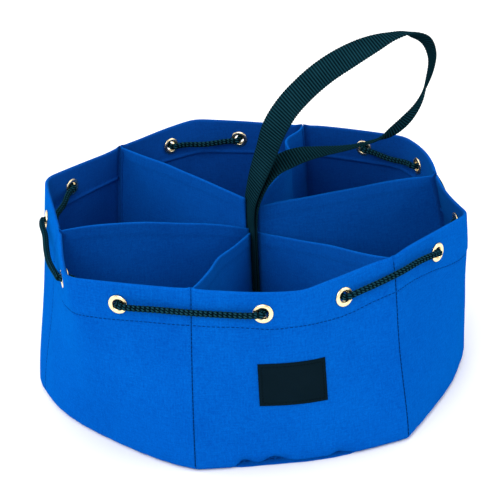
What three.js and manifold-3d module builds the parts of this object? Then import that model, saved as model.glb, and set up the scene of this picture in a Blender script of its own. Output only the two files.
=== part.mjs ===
// Low round drawstring bag with six open compartments, in millimetres, +Z up.
// The origin is the middle of the base on the floor. The panel with the label faces -Y.
import * as THREE from 'three';
import { mergeVertices } from 'three/addons/utils/BufferGeometryUtils.js';
import Module from 'manifold-3d';

// Main sizes
const RIM_Z = 125;          // height of the rim
const LEAN = 1.3;           // the wall goes from base outline to rim outline with (z / RIM_Z) ** LEAN
const CLOTH = 1.3;          // wall cloth
const GAP = 0.3;            // clearance kept between pieces
const HEM = 25;             // depth of the hem folded inside the rim
const FOLD = 0.7;           // rounding of the fold at the rim
const ALLOWANCE = 8;        // seam allowance turned in at each end of a panel
const STITCH_ROOM = 1.6;    // seam allowance left at the foot, beside the base
const DIVIDER = 1.2;        // divider cloth
const BASE = 1.6;           // base cloth, two layers
const FOOT_Z = 0.4;         // lowest edge of the wall
const CORNER_SPAN = 0.3;    // part of a half panel over which its middle corner is rounded
const CORNER_STEP = 0.12;   // reach of that rounding

// Corner points of the wall, counter-clockwise from +X: angle and radius at the base and at the rim.
// The bows are the angles at which the half panel that follows the point leaves the straight line.
const RING = [
  { at: 'right seam', baseDeg: 0.5, baseR: 146.8, rimDeg: 0, rimR: 131.1, baseBow: 8, rimBow: 14 },
  { at: 'back right', baseDeg: 30, baseR: 138, rimDeg: 28.4, rimR: 149, baseBow: 8, rimBow: 10.5 },
  { at: 'back right seam', baseDeg: 60, baseR: 146.5, rimDeg: 59.5, rimR: 131.2, baseBow: 8, rimBow: 3 },
  { at: 'back', baseDeg: 90, baseR: 138, rimDeg: 92.4, rimR: 150.9, baseBow: 8, rimBow: 5 },
  { at: 'back left seam', baseDeg: 120, baseR: 147, rimDeg: 120.3, rimR: 135.5, baseBow: 8, rimBow: 4.5 },
  { at: 'back left', baseDeg: 155, baseR: 143.5, rimDeg: 149.1, rimR: 148.6, baseBow: 25.5, rimBow: -1 },
  { at: 'left seam', baseDeg: 180.5, baseR: 149.8, rimDeg: 184, rimR: 132, baseBow: 14, rimBow: 0 },
  { at: 'front left', baseDeg: 210, baseR: 141.6, rimDeg: 209.5, rimR: 157.9, baseBow: 7.5, rimBow: 8.5 },
  { at: 'front left seam', baseDeg: 240.9, baseR: 147.1, rimDeg: 240.8, rimR: 134.9, baseBow: 4, rimBow: 13 },
  { at: 'front', baseDeg: 270, baseR: 139, rimDeg: 270.3, rimR: 141.4, baseBow: 6.5, rimBow: -3.7 },
  { at: 'front right seam', baseDeg: 297.6, baseR: 149.1, rimDeg: 299.5, rimR: 131.2, baseBow: 5, rimBow: 1 },
  { at: 'front right', baseDeg: 339.3, baseR: 142.6, rimDeg: 333, rimR: 147.3, baseBow: 19, rimBow: -8.4 },
];
const PINCHED = { corner: 10, depth: 3.5 };   // the front right seam is drawn in most halfway up

// How far the wall is drawn in near the foot, and how far it bellies out above it
const FOOT = [
  { z: 0.4, drawnIn: 3 },
  { z: 1.6, drawnIn: 1.2 },
  { z: 4, drawnIn: 0 },
  { z: 60, drawnIn: -1 },
  { z: 125, drawnIn: 0 },
];

// Heights at which a panel is drawn, and its layers of cloth there
const ROWS = [
  { z: FOOT_Z, layers: 1, fold: 0 },
  { z: 1.6, layers: 1, fold: 0 },
  { z: 4, layers: 1, fold: 0 },
  { z: 20, layers: 1, fold: 0 },
  { z: 48, layers: 1, fold: 0 },
  { z: 76, layers: 1, fold: 0 },
  { z: RIM_Z - HEM - 0.4, layers: 1, fold: 0 },
  { z: RIM_Z - HEM + 0.4, layers: 2, fold: 0 },
  { z: RIM_Z - FOLD, layers: 2, fold: 0 },
  { z: RIM_Z, layers: 2, fold: FOLD },
];
const COLUMNS = [0.06, 0.2, 0.42, 0.66, 0.82, 0.93, 1, 1.07, 1.18, 1.34, 1.58, 1.8, 1.94];
const PANELS = ['back_right', 'back', 'back_left', 'front_left', 'front', 'front_right'];

// Dividers, one to each seam: distance from the middle at which they start, heights of the top edge at
// the wall, halfway and at the middle, how far the cloth sways aside halfway and creases back near the wall
const DIVIDERS = [
  { name: 'right', start: 4.6, atWall: 123.5, halfway: 124, atMiddle: 118, sway: -4.5, crease: 0 },
  { name: 'back_right', start: 7.8, atWall: 124.5, halfway: 122.5, atMiddle: 118, sway: -7, crease: 6 },
  { name: 'back_left', start: 5.6, atWall: 124.5, halfway: 124.8, atMiddle: 123.5, sway: -1, crease: 0 },
  { name: 'left', start: 2.2, atWall: 124.5, halfway: 120.5, atMiddle: 103, sway: 4, crease: 0 },
  { name: 'front_left', start: 5.6, atWall: 124, halfway: 113, atMiddle: 102, sway: -3, crease: 0 },
  { name: 'front_right', start: 5.6, atWall: 124, halfway: 112, atMiddle: 102, sway: 4, crease: 0 },
];
const DIVIDER_SEAM_ROOM = 1;
const LOOSE = 0.9;          // part of a divider, from the middle outward, that can sway
const CREASE_FROM = 0.6;    // where the crease near the wall starts; it ends where the cloth is held

// Strap: webbing section, and its path in the plane y = 0; roll turns the near edge into the loop
const STRAP_WIDTH = 25;
const STRAP_THICK = 1.6;
const TAIL_X = 0.95;
const STRAP_PATH = [
  { x: -TAIL_X, z: BASE + GAP, roll: 0 },
  { x: -TAIL_X, z: 60, roll: 0 },
  { x: -TAIL_X, z: 104, roll: 0 },
  { x: -TAIL_X, z: 114, roll: 0 },
  { x: -0.2, z: 123, roll: 1 },
  { x: 1.9, z: 131, roll: 4 },
  { x: 5.4, z: 141, roll: 9 },
  { x: 11, z: 155, roll: 15 },
  { x: 18, z: 173, roll: 20 },
  { x: 27.5, z: 187.5, roll: 18 },
  { x: 38, z: 198, roll: 15 },
  { x: 52.8, z: 210, roll: 11 },
  { x: 67.9, z: 219, roll: 8 },
  { x: 83.5, z: 225.6, roll: 1 },
  { x: 98.5, z: 229.4, roll: -14 },
  { x: 109.5, z: 229, roll: -26 },
  { x: 119.5, z: 223.5, roll: -29 },
  { x: 124.6, z: 214.5, roll: -7 },
  { x: 125, z: 202, roll: 9 },
  { x: 122.3, z: 188, roll: 21 },
  { x: 116.3, z: 177, roll: 36 },
  { x: 107.5, z: 165.9, roll: 42 },
  { x: 97, z: 158.5, roll: 41 },
  { x: 88, z: 155.5, roll: 24 },
  { x: 77, z: 153.6, roll: 22 },
  { x: 66.8, z: 152.8, roll: 17 },
  { x: 51, z: 152.7, roll: 9 },
  { x: 36.2, z: 152, roll: 0.5 },
  { x: 26.5, z: 149.6, roll: -3 },
  { x: 18.5, z: 146, roll: -1 },
  { x: 10.5, z: 138, roll: 1 },
  { x: 4.6, z: 128, roll: 0 },
  { x: 1.7, z: 118, roll: 0 },
  { x: TAIL_X, z: 108, roll: 0 },
  { x: TAIL_X, z: 60, roll: 0 },
  { x: TAIL_X, z: BASE + GAP, roll: 0 },
];
const STRAP_STEPS = 2;

// Grommets: two in each panel, this far from its first and its last seam, and how far the cord droops
// and stands off outside that last seam
const GROMMET_Z = 111;
const GROMMET_RUNS = [
  { panel: 'back_right', first: 46, last: 46, droop: 3, stand: 0 },
  { panel: 'back', first: 48.5, last: 46, droop: 3, stand: 0 },
  { panel: 'back_left', first: 50, last: 48, droop: 0, stand: 3 },
  { panel: 'front_left', first: 43.5, last: 47, droop: -1.4, stand: 0 },
  { panel: 'front', first: 44.5, last: 40, droop: -3.6, stand: 0 },
  { panel: 'front_right', first: 46, last: 48, droop: 3, stand: 0 },
];
const GROMMET_SIDES = 12;
const HOLE_R = 4;
const BORE_R = 3.3;
const BARREL_R = 3.7;
const FLANGE_R = 6.2;
const FLANGE_THICK = 0.7;
const FLANGE_GAP = 0.7;      // clearance of the flat flanges from the bowed cloth

// Drawcord: a closed loop through the grommets
const CORD_R = 2.3;
const CORD_SIDES = 8;
const CORD_SAG = 0.8;
// Its bend at a grommet: run along the wall and height over the wall's outer face
const CORD_BEND = [
  { run: 0, lift: 0.8 },
  { run: 1.5, lift: 3.4 },
  { run: 5, lift: 4.1 },
];
// Between two grommets across a seam: part of the way, least height over the wall's outer face, and share
// of the droop and the stand-off
const CORD_OUTSIDE = [
  { part: 0.28, lift: 3.5, share: 0.65 },
  { part: 0.5, lift: 3.1, share: 1 },
  { part: 0.72, lift: 3.5, share: 0.65 },
];

// Label on the front panel: span along the panel from its left seam, height, and how far it is askew
const LABEL = {
  panel: 4, from: 40.6, to: 84.6, low: 46.2, high: 76.2, skew: 1.1, drop: 1.7, thick: 0.8, steps: 6, rows: 3,
};

// Plan view curves of the wall
const { lerp, degToRad } = THREE.MathUtils;

function drawnIn(z) {
  const k = Math.max(1, FOOT.findIndex((row) => row.z >= z));
  const [a, b] = [FOOT[k - 1], FOOT[k]];
  return lerp(a.drawnIn, b.drawnIn, (z - a.z) / (b.z - a.z));
}

function corner(i, z) {
  const row = RING[i % RING.length];
  const t = (z / RIM_Z) ** LEAN;
  const angle = degToRad(lerp(row.baseDeg, row.rimDeg, t));
  const pinch = row === RING[PINCHED.corner] ? PINCHED.depth * Math.sin(Math.PI * z / RIM_Z) ** 2 : 0;
  const radius = lerp(row.baseR, row.rimR, t) - drawnIn(z) - pinch;
  return new THREE.Vector2(radius * Math.cos(angle), radius * Math.sin(angle));
}

// Half panel i as a cubic curve from corner i to corner i + 1
function halfPanel(i, s, z) {
  const row = RING[i % RING.length];
  const bow = degToRad(lerp(row.baseBow, row.rimBow, (z / RIM_Z) ** LEAN));
  const p = corner(i, z);
  const q = corner(i + 1, z);
  const chord = q.clone().sub(p);
  const leave = chord.clone().rotateAround(new THREE.Vector2(), -bow);
  const arrive = chord.clone().rotateAround(new THREE.Vector2(), bow);
  const point = p.multiplyScalar(2 * s ** 3 - 3 * s ** 2 + 1);
  point.addScaledVector(leave, s ** 3 - 2 * s ** 2 + s);
  point.addScaledVector(q, 3 * s ** 2 - 2 * s ** 3);
  return point.addScaledVector(arrive, s ** 3 - s ** 2);
}

// Panel k from seam (u = 0) over its middle (u = 1) to the next seam (u = 2)
function panelCurve(k, u, z) {
  const half = u < 1 ? 0 : 1;
  return halfPanel(2 * k + half, u - half, z);
}

function panelPoint(k, u, z) {
  const near = Math.max(0, 1 - (Math.abs(u - 1) / CORNER_SPAN) ** 2);
  const point = panelCurve(k, u, z);
  if (near === 0) {
    return point;
  }
  const rounded = panelCurve(k, u - CORNER_STEP, z).add(panelCurve(k, u + CORNER_STEP, z));
  return point.lerp(rounded.multiplyScalar(0.5), near);
}

// Point of the wall at a depth behind its outer face
function wallPoint(k, u, z, depth) {
  const a = panelPoint(k, Math.max(0, u - 0.01), z);
  const b = panelPoint(k, Math.min(2, u + 0.01), z);
  const along = b.sub(a).normalize();
  const p = panelPoint(k, u, z);
  return new THREE.Vector3(p.x - along.y * depth, p.y + along.x * depth, z);
}

function wallFrame(k, u, z) {
  const origin = wallPoint(k, u, z, 0);
  const along = wallPoint(k, u + 0.02, z, 0).sub(wallPoint(k, u - 0.02, z, 0)).normalize();
  const up = wallPoint(k, u, z + 2, 0).sub(wallPoint(k, u, z - 2, 0)).normalize();
  const out = along.clone().cross(up).normalize();
  return { origin, along, up: out.clone().cross(along), out };
}

// Place on panel k at a distance along it from its first or its last seam
function fromSeam(k, distance, z, last = false) {
  const i = 2 * k;
  const halves = [corner(i, z).distanceTo(corner(i + 1, z)), corner(i + 1, z).distanceTo(corner(i + 2, z))];
  const run = last ? halves[0] + halves[1] - distance : distance;
  return run < halves[0] ? run / halves[0] : 1 + (run - halves[0]) / halves[1];
}

function seamAt(seam, z) {
  const p = corner(2 * seam, z);
  const outward = p.clone().normalize();
  return { radius: p.length(), outward, aside: new THREE.Vector2(-outward.y, outward.x) };
}

function seamPoint(seam, radius, aside, z) {
  const s = seamAt(seam, z);
  const p = s.outward.multiplyScalar(radius).addScaledVector(s.aside, aside);
  return new THREE.Vector3(p.x, p.y, z);
}

// Solids from grids of points
function solid(points, faces) {
  const geometry = new THREE.BufferGeometry();
  const places = points.flatMap((p) => [p.x, p.y, p.z]);
  geometry.setAttribute('position', new THREE.Float32BufferAttribute(places, 3));
  geometry.setIndex(faces.flat());
  geometry.computeVertexNormals();
  return geometry;
}

function quad(a, b, c, d) {
  return [[a, b, c], [a, c, d]];
}

// Grid of points from a function of the part of the way up and the part of the way along
function grid(rows, columns, at) {
  const parts = (n) => Array.from({ length: n + 1 }, (_, i) => i / n);
  return parts(rows).map((v) => parts(columns).map((f) => at(v, f)));
}

// Sheet between a front grid and a back grid; rows run up and columns run right on the front
function slab(front, back) {
  const rows = front.length;
  const columns = front[0].length;
  const points = [...front.flat(), ...back.flat()];
  const f = (i, j) => i * columns + j;
  const b = (i, j) => rows * columns + i * columns + j;
  const faces = [];
  for (let i = 0; i + 1 < rows; i += 1) {
    for (let j = 0; j + 1 < columns; j += 1) {
      faces.push(...quad(f(i, j), f(i, j + 1), f(i + 1, j + 1), f(i + 1, j)));
      faces.push(...quad(b(i, j + 1), b(i, j), b(i + 1, j), b(i + 1, j + 1)));
    }
    faces.push(...quad(b(i, 0), f(i, 0), f(i + 1, 0), b(i + 1, 0)));
    faces.push(...quad(f(i, columns - 1), b(i, columns - 1), b(i + 1, columns - 1), f(i + 1, columns - 1)));
  }
  for (let j = 0; j + 1 < columns; j += 1) {
    faces.push(...quad(b(0, j), b(0, j + 1), f(0, j + 1), f(0, j)));
    faces.push(...quad(f(rows - 1, j), f(rows - 1, j + 1), b(rows - 1, j + 1), b(rows - 1, j)));
  }
  return solid(points, faces);
}

// Closed band of sections, each a loop of points; closed also joins the last section to the first
function band(sections, closed) {
  const n = sections[0].length;
  const count = sections.length;
  const points = sections.flat();
  const faces = [];
  const spans = closed ? count : count - 1;
  for (let i = 0; i < spans; i += 1) {
    const next = (i + 1) % count;
    for (let j = 0; j < n; j += 1) {
      const k = (j + 1) % n;
      faces.push(...quad(i * n + j, i * n + k, next * n + k, next * n + j));
    }
  }
  if (!closed) {
    const end = (count - 1) * n;
    for (let j = 1; j + 1 < n; j += 1) {
      faces.push([0, j + 1, j], [end, end + j, end + j + 1]);
    }
  }
  return solid(points, faces);
}

// Cutting holes
const wasm = await Module();
wasm.setup();

function toManifold(geometry) {
  const bare = new THREE.BufferGeometry();
  bare.setAttribute('position', geometry.getAttribute('position').clone());
  bare.setIndex(geometry.index ? [...geometry.index.array] : null);
  const joined = mergeVertices(bare, 1e-4);
  return new wasm.Manifold(new wasm.Mesh({
    numProp: 3,
    vertProperties: new Float32Array(joined.getAttribute('position').array),
    triVerts: new Uint32Array(joined.index.array),
  }));
}

function fromManifold(manifold) {
  const mesh = manifold.getMesh();
  const geometry = new THREE.BufferGeometry();
  geometry.setAttribute('position', new THREE.Float32BufferAttribute(mesh.vertProperties, 3));
  geometry.setIndex([...mesh.triVerts]);
  geometry.computeVertexNormals();
  return geometry;
}

function turned(frame) {
  return new THREE.Matrix4().makeBasis(frame.along, frame.up, frame.out).setPosition(frame.origin);
}

// Wall panels
function grommetFrames(k) {
  const { first, last } = GROMMET_RUNS[k];
  const places = [fromSeam(k, first, GROMMET_Z, false), fromSeam(k, last, GROMMET_Z, true)];
  return places.map((u) => wallFrame(k, u, GROMMET_Z));
}

function wallPanel(k) {
  const near = DIVIDER / 2 + GAP;
  const front = [];
  const back = [];
  for (const { z, layers, fold } of ROWS) {
    const thick = layers * CLOTH - fold;
    const firstHalf = corner(2 * k, z).distanceTo(corner(2 * k + 1, z));
    const lastHalf = corner(2 * k + 1, z).distanceTo(corner(2 * k + 2, z));
    const turnedIn = z > BASE ? ALLOWANCE : STITCH_ROOM;
    const tip = (seam) => seamAt(seam, z).radius - turnedIn;
    const first = k;
    const last = (k + 1) % PANELS.length;
    front.push([
      seamPoint(first, tip(first), near, z),
      wallPoint(k, near / firstHalf, z, fold),
      ...COLUMNS.map((u) => wallPoint(k, u, z, fold)),
      wallPoint(k, 2 - near / lastHalf, z, fold),
      seamPoint(last, tip(last), -near, z),
    ]);
    back.push([
      seamPoint(first, tip(first), near + CLOTH, z),
      wallPoint(k, (near + CLOTH) / firstHalf, z, thick),
      ...COLUMNS.map((u) => wallPoint(k, u, z, thick)),
      wallPoint(k, 2 - (near + CLOTH) / lastHalf, z, thick),
      seamPoint(last, tip(last), -near - CLOTH, z),
    ]);
  }
  let panel = toManifold(slab(front, back));
  for (const frame of grommetFrames(k)) {
    const hole = new THREE.CylinderGeometry(HOLE_R, HOLE_R, 6 * CLOTH, GROMMET_SIDES);
    hole.rotateX(Math.PI / 2).translate(0, 0, -CLOTH).applyMatrix4(turned(frame));
    panel = panel.subtract(toManifold(hole));
  }
  return fromManifold(panel);
}

// Base, inside the foot of the wall
function base() {
  const inset = CLOTH + 2 * GAP;
  const seamInset = 2 * GAP;
  const outline = (z) => PANELS.flatMap((name, k) => [0, 0.2, 0.5, 0.8, 1, 1.2, 1.5, 1.8].map((u) => {
    const p = wallPoint(k, u, FOOT_Z, inset).setZ(z);
    return u === 0 ? seamPoint(k, seamAt(k, FOOT_Z).radius - STITCH_ROOM - seamInset, 0, z) : p;
  }));
  return band([outline(0), outline(BASE)], false);
}

// Dividers
function divider({ start, atWall, halfway, atMiddle, sway, crease }, seam) {
  const steps = 10;
  const levels = 5;
  const bend = 2 * (atMiddle + atWall - 2 * halfway);
  const side = (way) => grid(levels, steps, (v, f) => {
    const top = atMiddle + (atWall - atMiddle - bend) * f + bend * f * f;
    const z = lerp(BASE + GAP, top, v);
    const radius = lerp(start, seamAt(seam, z).radius - DIVIDER_SEAM_ROOM, f);
    const part = THREE.MathUtils.clamp((f - CREASE_FROM) / (LOOSE - CREASE_FROM), 0, 1);
    const swayed = sway * Math.sin(Math.PI * Math.min(f / LOOSE, 1)) ** 2;
    const aside = (swayed + crease * Math.sin(Math.PI * part) ** 2) * (z / RIM_Z);
    return seamPoint(seam, radius, aside + way * DIVIDER / 2, z);
  });
  return slab(side(-1), side(1));
}

// Strap
function strap() {
  const stations = STRAP_PATH.map(({ x, z }) => new THREE.Vector3(x, 0, z));
  const path = new THREE.CatmullRomCurve3(stations, false, 'centripetal');
  const spans = STRAP_PATH.length - 1;
  const count = spans * STRAP_STEPS;
  const sections = [];
  for (let i = 0; i <= count; i += 1) {
    const t = i / count;
    const k = Math.min(Math.floor(i / STRAP_STEPS), spans - 1);
    const roll = degToRad(lerp(STRAP_PATH[k].roll, STRAP_PATH[k + 1].roll, i / STRAP_STEPS - k));
    const middle = path.getPoint(t);
    const along = path.getTangent(t);
    const inward = new THREE.Vector3(along.z, 0, -along.x);
    const across = new THREE.Vector3(0, -Math.cos(roll), 0).addScaledVector(inward, Math.sin(roll));
    const face = along.clone().cross(across);
    const at = (w, n) => middle.clone()
      .addScaledVector(across, w * STRAP_WIDTH / 2)
      .addScaledVector(face, n * STRAP_THICK / 2);
    sections.push([at(-1, -1), at(1, -1), at(1, 1), at(-1, 1)]);
  }
  return band(sections, false);
}

// Grommets, two flanges on a barrel
function grommet(frame) {
  const outer = FLANGE_GAP;
  const inner = -2 * CLOTH - FLANGE_GAP;
  const profile = [
    [BORE_R, inner - FLANGE_THICK],
    [FLANGE_R - 0.4, inner - FLANGE_THICK + 0.4],
    [FLANGE_R, inner],
    [BARREL_R, inner],
    [BARREL_R, outer],
    [FLANGE_R, outer],
    [FLANGE_R - 0.4, outer + FLANGE_THICK - 0.4],
    [BORE_R, outer + FLANGE_THICK],
  ];
  const sections = Array.from({ length: GROMMET_SIDES }, (_, i) => {
    const turn = 2 * Math.PI * i / GROMMET_SIDES;
    return profile.map(([r, h]) => new THREE.Vector3(r * Math.cos(turn), r * Math.sin(turn), h));
  });
  return band(sections.reverse(), true).applyMatrix4(turned(frame));
}

// Drawcord
function cordPath() {
  const inside = -2 * CLOTH;
  const place = ({ origin, along, out }, run, lift) => (
    origin.clone().addScaledVector(along, run).addScaledVector(out, lift)
  );
  const outsideBend = (frame, way) => CORD_BEND.map(({ run, lift }) => place(frame, way * run, lift));
  const insideBend = (frame, way) => CORD_BEND.map(({ run, lift }) => place(frame, way * run, inside - lift));
  return PANELS.flatMap((name, k) => {
    const [first, last] = grommetFrames(k);
    const next = (k + 1) % PANELS.length;
    const entering = [...outsideBend(first, -1).reverse(), ...insideBend(first, 1)];
    const leaving = [...insideBend(last, -1).reverse(), ...outsideBend(last, 1)];
    const middle = entering.at(-1).clone().lerp(leaving[0], 0.5);
    middle.z -= CORD_SAG;
    const { last: toSeam, droop, stand } = GROMMET_RUNS[k];
    const across = CORD_OUTSIDE.map(({ part, lift, share }) => {
      const run = (toSeam + GROMMET_RUNS[next].first) * part;
      const z = GROMMET_Z - droop * share;
      const before = run < toSeam;
      const panel = before ? k : next;
      const u = fromSeam(panel, Math.abs(toSeam - run), z, before);
      return wallPoint(panel, u, z, -lift - stand * share);
    });
    return [...entering, middle, ...leaving, ...across];
  });
}

function drawcord() {
  const points = cordPath();
  const n = points.length;
  const tangents = points.map((p, i) => points[(i + 1) % n].clone().sub(points[(i + n - 1) % n]).normalize());
  const sides = [new THREE.Vector3(0, 0, 1).cross(tangents[0]).normalize()];
  for (let i = 1; i <= n; i += 1) {
    const turn = new THREE.Quaternion().setFromUnitVectors(tangents[i - 1], tangents[i % n]);
    sides.push(sides[i - 1].clone().applyQuaternion(turn));
  }
  const drift = Math.atan2(sides[n].clone().cross(sides[0]).dot(tangents[0]), sides[n].dot(sides[0]));
  const sections = points.map((p, i) => {
    const a = sides[i].clone().applyAxisAngle(tangents[i], drift * i / n);
    const b = tangents[i].clone().cross(a);
    return Array.from({ length: CORD_SIDES }, (_, j) => {
      const turn = 2 * Math.PI * j / CORD_SIDES;
      const around = a.clone().multiplyScalar(Math.cos(turn)).addScaledVector(b, Math.sin(turn));
      return p.clone().addScaledVector(around, CORD_R);
    });
  });
  return band(sections, true);
}

// Label
function label() {
  const { panel, from, to, low, high, skew, drop, thick, steps, rows } = LABEL;
  const face = (depth) => grid(rows, steps, (v, f) => {
    const z = lerp(low, high, v) - drop * f;
    const run = lerp(from, to, f) + skew * (1 - v);
    return wallPoint(panel, fromSeam(panel, run, z), z, depth);
  });
  return slab(face(-GAP - thick), face(-GAP));
}

// Assembly
const FINISH = {
  cloth: { color: 0x0b5cc0, roughness: 0.85, metalness: 0 },
  webbing: { color: 0x17191c, roughness: 0.8, metalness: 0 },
  cord: { color: 0x141517, roughness: 0.75, metalness: 0 },
  brass: { color: 0xc9a45a, roughness: 0.3, metalness: 1 },
  patch: { color: 0x16181b, roughness: 0.7, metalness: 0 },
};
const group = new THREE.Group();

function add(name, finish, geometry) {
  const mesh = new THREE.Mesh(geometry, new THREE.MeshStandardMaterial(FINISH[finish]));
  mesh.name = name;
  group.add(mesh);
}

PANELS.forEach((name, k) => add(`wall_panel_${name}`, 'cloth', wallPanel(k)));
add('base', 'cloth', base());
DIVIDERS.forEach((row, seam) => add(`divider_${row.name}`, 'cloth', divider(row, seam)));
add('strap', 'webbing', strap());
add('drawcord', 'cord', drawcord());
PANELS.flatMap((name, k) => grommetFrames(k)).forEach((frame, i) => {
  add(`grommet_${String(i + 1).padStart(2, '0')}`, 'brass', grommet(frame));
});
add('label', 'patch', label());

export default group;
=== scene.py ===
# %% [markdown]
# # A round tool bag of blue cloth
# The bag stands on a flat base. Six cloth panels make its wall, six dividers make its compartments, a loop
# of webbing stands up from the middle, and a braided cord runs through brass grommets below the rim. The
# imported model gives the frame: plain solids of the right size in the right place. Each piece that is worked
# out here, in the same millimetres, takes the place of one of them, and rows of stitches are added.

import bpy
import numpy as np
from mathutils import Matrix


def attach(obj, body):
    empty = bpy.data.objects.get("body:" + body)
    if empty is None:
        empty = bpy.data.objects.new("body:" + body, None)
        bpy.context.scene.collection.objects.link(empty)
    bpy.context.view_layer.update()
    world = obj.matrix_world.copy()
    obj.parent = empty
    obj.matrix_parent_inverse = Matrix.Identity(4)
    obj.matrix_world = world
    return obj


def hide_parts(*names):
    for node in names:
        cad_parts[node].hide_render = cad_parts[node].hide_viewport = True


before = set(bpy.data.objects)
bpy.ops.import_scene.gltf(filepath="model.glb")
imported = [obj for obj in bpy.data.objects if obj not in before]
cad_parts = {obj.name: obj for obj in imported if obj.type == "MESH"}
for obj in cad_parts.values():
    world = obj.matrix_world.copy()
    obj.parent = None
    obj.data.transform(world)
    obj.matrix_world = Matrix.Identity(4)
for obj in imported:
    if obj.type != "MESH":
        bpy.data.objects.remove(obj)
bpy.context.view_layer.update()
print("solids in the frame:", len(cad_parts))

# %% [markdown]
# ## The camera
# The photograph looks down on the bag a little from its left with a long lens, and leans slightly. A camera
# could be placed by eye, but a few measured numbers let the picture lie closely over the photograph. It is
# aimed along the ray through the picture's middle, so it needs no shift and any other view stays centred.

# %% Camera
MM = 0.001
PICTURE = 500
VIEW_UP, VIEW_TURN, VIEW_LEAN = np.radians([27.1, 12.5, 2.4])
VIEW_DISTANCE = 1314.0
VIEW_TARGET = np.array([0.0, 0.0, 62.0])
TARGET_PIXEL = np.array([253.9, 281.7])
FOCAL_PIXELS = 1914.0


def unit(v):
    """Vectors divided by their lengths."""
    return v / np.linalg.norm(v, axis=-1, keepdims=True)


def camera_axes():
    """Eye, right, up and forward of the view: turned, raised, leant, then aimed at the picture's middle."""
    side = np.array([np.cos(VIEW_TURN), -np.sin(VIEW_TURN), 0])
    level = np.array([np.sin(VIEW_TURN), np.cos(VIEW_TURN), 0])
    forward = level * np.cos(VIEW_UP) - np.array([0, 0, np.sin(VIEW_UP)])
    steep = level * np.sin(VIEW_UP) + np.array([0, 0, np.cos(VIEW_UP)])
    right = side * np.cos(VIEW_LEAN) - steep * np.sin(VIEW_LEAN)
    up = side * np.sin(VIEW_LEAN) + steep * np.cos(VIEW_LEAN)
    eye = VIEW_TARGET - forward * VIEW_DISTANCE
    off = (PICTURE / 2 - TARGET_PIXEL) / FOCAL_PIXELS
    forward = unit(forward + right * off[0] - up * off[1])
    right = unit(np.cross(forward, up))
    return eye, right, np.cross(right, forward), forward


eye, right, up, forward = camera_axes()
camera = bpy.data.objects.new("camera", bpy.data.cameras.new("camera"))
camera.data.lens = FOCAL_PIXELS / PICTURE * camera.data.sensor_width
pose = np.eye(4)
pose[:3, :3] = np.stack([right, up, -forward], -1)
pose[:3, 3] = eye * MM
camera.matrix_world = pose.T.tolist()
bpy.context.scene.collection.objects.link(camera)
bpy.context.scene.camera = camera
print("lens", round(camera.data.lens, 1), "mm")

# %% [markdown]
# ## Arrays to pieces
# A mesh is an array of points and an array of faces. It could be modelled by hand, but cloth, webbing, cord
# and thread repeat so much that whole arrays say it shorter. Cloth is a sheet between a front grid and a
# back grid, joined along the four edges. Webbing, cord and thread are bands of sections along a path. A
# piece can carry a place in its own cloth for the weave, and one number for each point for its finish.

# %% Faces of sheets and bands
HOLE_RING = np.array([(-1, -1), (-1, 0), (-1, 1), (0, 1), (1, 1), (1, 0), (1, -1), (0, -1)])


def patch(a, b, c, d):
    """Quads from four arrays of corner numbers."""
    return np.stack([a, b, c, d], -1).reshape(-1, 4)


def sheet_faces(rows, columns, holes=()):
    """Faces of two grids joined at the edges; a hole drops one point and joins the grids round it."""
    front = np.arange(rows * columns).reshape(rows, columns)
    back = front + rows * columns
    faces = np.concatenate([
        patch(front[:-1, :-1], front[:-1, 1:], front[1:, 1:], front[1:, :-1]),
        patch(back[:-1, 1:], back[:-1, :-1], back[1:, :-1], back[1:, 1:]),
        patch(back[0, :-1], back[0, 1:], front[0, 1:], front[0, :-1]),
        patch(front[-1, :-1], front[-1, 1:], back[-1, 1:], back[-1, :-1]),
        patch(back[:-1, 0], front[:-1, 0], front[1:, 0], back[1:, 0]),
        patch(front[:-1, -1], back[:-1, -1], back[1:, -1], front[1:, -1]),
    ])
    for i, j in holes:
        faces = faces[~np.isin(faces, [front[i, j], back[i, j]]).any(1)]
        f = front[i + HOLE_RING[:, 0], j + HOLE_RING[:, 1]]
        b = f + rows * columns
        faces = np.concatenate([faces, patch(f, np.roll(f, -1), np.roll(b, -1), b)])
    return faces


def band_faces(rings, sides, closed):
    """Faces of a band of closed sections; an open band gets flat ends, folded from its section's halves."""
    n = np.arange(rings * sides).reshape(rings, sides)
    nxt = np.roll(n, -1, 1)
    if closed:
        return patch(n, nxt, np.roll(nxt, -1, 0), np.roll(n, -1, 0))
    j = np.arange(sides // 2 - 1)
    ends = [patch(e[j], e[-1 - j], e[-2 - j], e[j + 1]) for e in (n[0], n[-1])]
    return np.concatenate([patch(n[:-1], nxt[:-1], nxt[1:], n[1:]), ends[0], ends[1][:, ::-1]])


def repeated(faces, points_each, count):
    """The same faces for a number of equal copies, one after the other."""
    return (faces[None] + points_each * np.arange(count)[:, None, None]).reshape(-1, faces.shape[1])


# %% Pieces
def add_piece(name, points, faces, uv=None, shade=None, nodes=()):
    """Makes an object from points in millimetres; points that no face uses are left out."""
    used, places = np.unique(faces, return_inverse=True)
    places = places.reshape(faces.shape)
    mesh = bpy.data.meshes.new(name)
    mesh.from_pydata((points.reshape(-1, 3)[used] * MM).tolist(), [], places.tolist())
    if uv is not None:
        layer = mesh.uv_layers.new(name="weave")
        layer.data.foreach_set("uv", uv.reshape(-1, 2)[used][places].astype(np.float32).ravel())
    if shade is not None:
        layer = mesh.attributes.new("shade", "FLOAT", "POINT")
        layer.data.foreach_set("value", shade.ravel()[used].astype(np.float32))
    mesh.shade_smooth()
    piece = bpy.data.objects.new(name, mesh)
    bpy.context.scene.collection.objects.link(piece)
    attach(piece, "root")
    if nodes:
        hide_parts(*nodes)
    print(name, len(used), "points")
    return piece


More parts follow.
